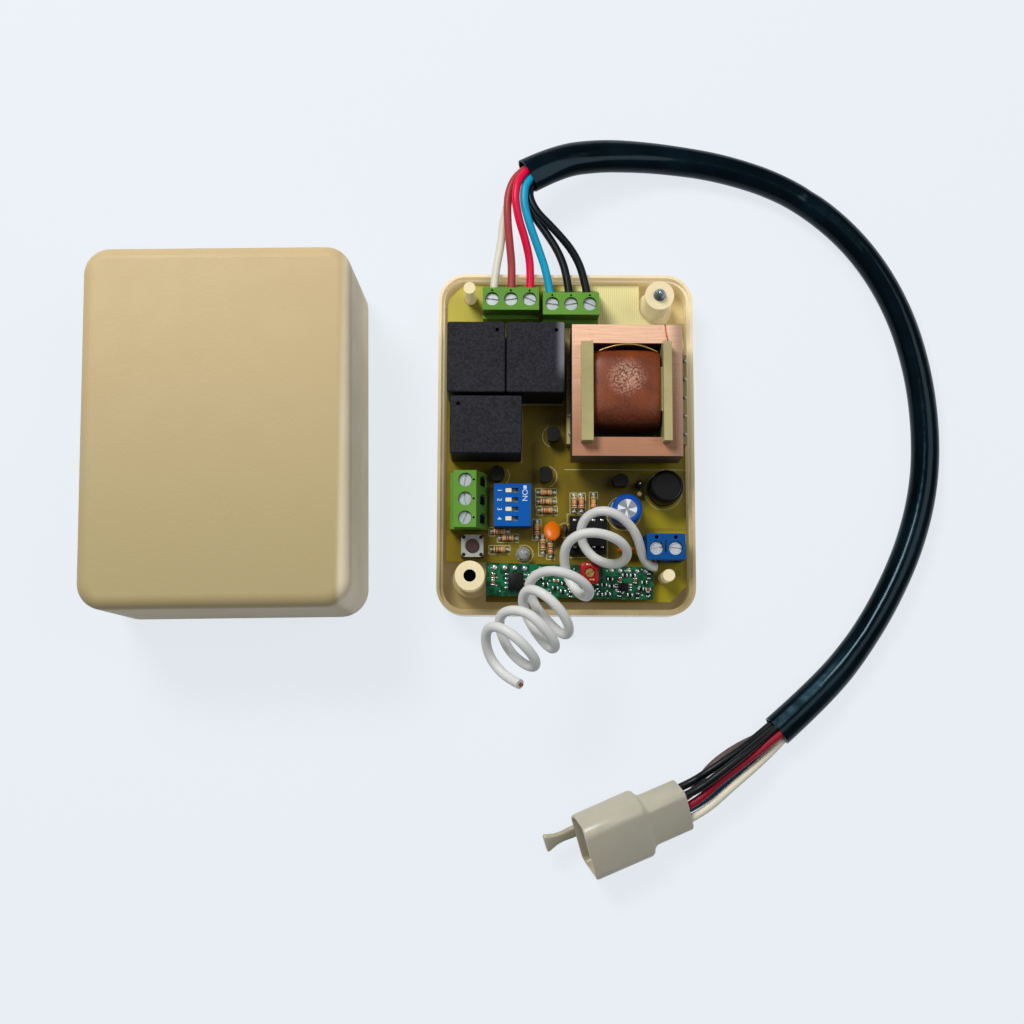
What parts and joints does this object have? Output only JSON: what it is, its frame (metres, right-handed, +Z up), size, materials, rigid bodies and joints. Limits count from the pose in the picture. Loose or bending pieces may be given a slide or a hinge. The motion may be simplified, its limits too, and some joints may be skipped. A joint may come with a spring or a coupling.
{
  "type": "radio receiver",
  "caption": "Opened external radio receiver: tray with relay board, mains transformer and coiled aerial, its cover beside it, and a sleeved harness to a connector.",
  "frame": {"origin": "middle of the tray's flat underside, on the surface it lies on", "axes": "+Z up out of the open tray; +X along the tray's short side, away from the cover; +Y along its long side, toward the side where the leads leave"},
  "size_m": [0.2295, 0.2043, 0.0486],
  "materials": {
    "tray_plastic": "satin, slightly translucent",
    "cover_plastic": "fine pebble grain",
    "board_laminate": "satin laminate with masked tracks",
    "green_plastic": "semi-gloss moulded",
    "blue_plastic": "semi-gloss moulded",
    "screw_steel": "plated",
    "relay_plastic": "satin",
    "relay_inner": "matte",
    "relay_copper": "enamelled wire",
    "core_steel": "lacquered laminations",
    "bobbin_plastic": "satin",
    "winding_tape": "glossy enamel",
    "black_plastic": "matte",
    "button_cap": "matte",
    "slider_white": "satin",
    "clear_lens": "clear",
    "can_sleeve": "shrink sleeve",
    "resistor_body": "lacquer with colour bands",
    "ceramic_orange": "dipped",
    "tinned_wire": "tinned",
    "radio_laminate": "solder mask",
    "radio_chips": "matte",
    "coil_red": "satin",
    "brass_core": "turned",
    "aerial_insulation": "satin",
    "insulation_white": "satin",
    "insulation_brown": "satin",
    "insulation_red": "satin",
    "insulation_blue": "satin",
    "insulation_black": "satin",
    "sleeve_black": "glossy",
    "connector_nylon": "natural nylon",
    "contact_metal": "tinned brass"
  },
  "bodies": {
    "receiver": {"base_tray": "tray_plastic", "case_screw": "screw_steel", "main_board": "board_laminate", "wire_terminal_left": "green_plastic", "wire_terminal_right": "green_plastic", "side_terminal": "green_plastic", "antenna_terminal": "blue_plastic", "terminal_cages": "screw_steel", "relay_case_1": "relay_plastic", "relay_case_2": "relay_plastic", "relay_case_3": "relay_plastic", "relay_bases": "relay_inner", "relay_coils": "relay_copper", "transformer_core_e": "core_steel", "transformer_core_i": "core_steel", "transformer_bobbin": "bobbin_plastic", "transformer_winding": "winding_tape", "dip_switch_case": "blue_plastic", "button_frame": "black_plastic", "chip_socket": "black_plastic", "controller_chip": "black_plastic", "status_led": "clear_lens", "electrolytic_capacitors": "can_sleeve", "transistors": "black_plastic", "resistors": "resistor_body", "ceramic_capacitors": "ceramic_orange", "component_leads": "tinned_wire", "radio_board": "radio_laminate", "radio_parts": "radio_chips", "tuning_coil": "coil_red", "antenna": "aerial_insulation", "wire_white": "insulation_white", "wire_brown": "insulation_brown", "wire_red": "insulation_red", "wire_blue": "insulation_blue", "wires_black": "insulation_black", "cable_sleeve": "sleeve_black", "connector_housing": "connector_nylon", "connector_contacts": "contact_metal"},
    "cover": {"cover": "cover_plastic"},
    "clamp_screw_1": {"terminal_screw_1": "screw_steel"},
    "clamp_screw_2": {"terminal_screw_2": "screw_steel"},
    "clamp_screw_3": {"terminal_screw_3": "screw_steel"},
    "clamp_screw_4": {"terminal_screw_4": "screw_steel"},
    "clamp_screw_5": {"terminal_screw_5": "screw_steel"},
    "clamp_screw_6": {"terminal_screw_6": "screw_steel"},
    "clamp_screw_7": {"terminal_screw_7": "screw_steel"},
    "clamp_screw_8": {"terminal_screw_8": "screw_steel"},
    "clamp_screw_9": {"terminal_screw_9": "screw_steel"},
    "clamp_screw_10": {"terminal_screw_10": "screw_steel"},
    "clamp_screw_11": {"terminal_screw_11": "screw_steel"},
    "switch_slider_1": {"dip_slider_1": "slider_white"},
    "switch_slider_2": {"dip_slider_2": "slider_white"},
    "switch_slider_3": {"dip_slider_3": "slider_white"},
    "switch_slider_4": {"dip_slider_4": "slider_white"},
    "button": {"button_plunger": "button_cap"},
    "slug": {"tuning_slug": "brass_core"},
    "armature_1": {"relay_armature_1": "screw_steel"},
    "armature_2": {"relay_armature_2": "screw_steel"},
    "armature_3": {"relay_armature_3": "screw_steel"}
  },
  "joints": [
    {"name": "cover_lift", "type": "slide", "parent": "receiver", "child": "cover", "axis": [0, 0, 1], "range_m": [0, 0.06]},
    {"name": "clamp_screw_turn_1", "type": "hinge", "parent": "receiver", "child": "clamp_screw_1", "pos_m": [-0.02028, 0.0381, 0.0175], "axis": [0, 0, 1], "range_deg": [0, 1440]},
    {"name": "clamp_screw_turn_2", "type": "hinge", "parent": "receiver", "child": "clamp_screw_2", "pos_m": [-0.0152, 0.0381, 0.0175], "axis": [0, 0, 1], "range_deg": [0, 1440]},
    {"name": "clamp_screw_turn_3", "type": "hinge", "parent": "receiver", "child": "clamp_screw_3", "pos_m": [-0.01012, 0.0381, 0.0175], "axis": [0, 0, 1], "range_deg": [0, 1440]},
    {"name": "clamp_screw_turn_4", "type": "hinge", "parent": "receiver", "child": "clamp_screw_4", "pos_m": [-0.00399, 0.03684, 0.0175], "axis": [0, 0, 1], "range_deg": [0, 1440]},
    {"name": "clamp_screw_turn_5", "type": "hinge", "parent": "receiver", "child": "clamp_screw_5", "pos_m": [0.00109, 0.03684, 0.0175], "axis": [0, 0, 1], "range_deg": [0, 1440]},
    {"name": "clamp_screw_turn_6", "type": "hinge", "parent": "receiver", "child": "clamp_screw_6", "pos_m": [0.00617, 0.03684, 0.0175], "axis": [0, 0, 1], "range_deg": [0, 1440]},
    {"name": "clamp_screw_turn_7", "type": "hinge", "parent": "receiver", "child": "clamp_screw_7", "pos_m": [-0.0272, -0.01132, 0.0175], "axis": [0, 0, 1], "range_deg": [0, 1440]},
    {"name": "clamp_screw_turn_8", "type": "hinge", "parent": "receiver", "child": "clamp_screw_8", "pos_m": [-0.0272, -0.0164, 0.0175], "axis": [0, 0, 1], "range_deg": [0, 1440]},
    {"name": "clamp_screw_turn_9", "type": "hinge", "parent": "receiver", "child": "clamp_screw_9", "pos_m": [-0.0272, -0.02148, 0.0175], "axis": [0, 0, 1], "range_deg": [0, 1440]},
    {"name": "clamp_screw_turn_10", "type": "hinge", "parent": "receiver", "child": "clamp_screw_10", "pos_m": [0.02874, -0.02947, 0.0175], "axis": [0, 0, 1], "range_deg": [0, 1440]},
    {"name": "clamp_screw_turn_11", "type": "hinge", "parent": "receiver", "child": "clamp_screw_11", "pos_m": [0.02366, -0.02947, 0.0175], "axis": [0, 0, 1], "range_deg": [0, 1440]},
    {"name": "switch_slide_1", "type": "slide", "parent": "receiver", "child": "switch_slider_1", "axis": [1, 0, 0], "range_m": [0, 0.0017]},
    {"name": "switch_slide_2", "type": "slide", "parent": "receiver", "child": "switch_slider_2", "axis": [1, 0, 0], "range_m": [0, 0.0017]},
    {"name": "switch_slide_3", "type": "slide", "parent": "receiver", "child": "switch_slider_3", "axis": [1, 0, 0], "range_m": [0, 0.0017]},
    {"name": "switch_slide_4", "type": "slide", "parent": "receiver", "child": "switch_slider_4", "axis": [1, 0, 0], "range_m": [0, 0.0017]},
    {"name": "button_press", "type": "slide", "parent": "receiver", "child": "button", "axis": [0, 0, -1], "range_m": [0, 0.0003], "stiffness_N_per_m": 2000},
    {"name": "slug_turn", "type": "hinge", "parent": "receiver", "child": "slug", "pos_m": [0.00609, -0.03584, 0.014], "axis": [0, 0, 1], "range_deg": [-720, 720]},
    {"name": "armature_pull_1", "type": "hinge", "parent": "receiver", "child": "armature_1", "pos_m": [-0.0244, 0.02555, 0.01965], "axis": [1, 0, 0], "range_deg": [0, 3], "stiffness_Nm_per_rad": 0.002, "springref_deg": -17.19},
    {"name": "armature_pull_2", "type": "hinge", "parent": "receiver", "child": "armature_2", "pos_m": [-0.0086, 0.02555, 0.01965], "axis": [1, 0, 0], "range_deg": [0, 3], "stiffness_Nm_per_rad": 0.002, "springref_deg": -17.19},
    {"name": "armature_pull_3", "type": "hinge", "parent": "receiver", "child": "armature_3", "pos_m": [-0.02635, 0.00278, 0.01965], "axis": [0, 1, 0], "range_deg": [0, 3], "stiffness_Nm_per_rad": 0.002, "springref_deg": -17.19}
  ]
}
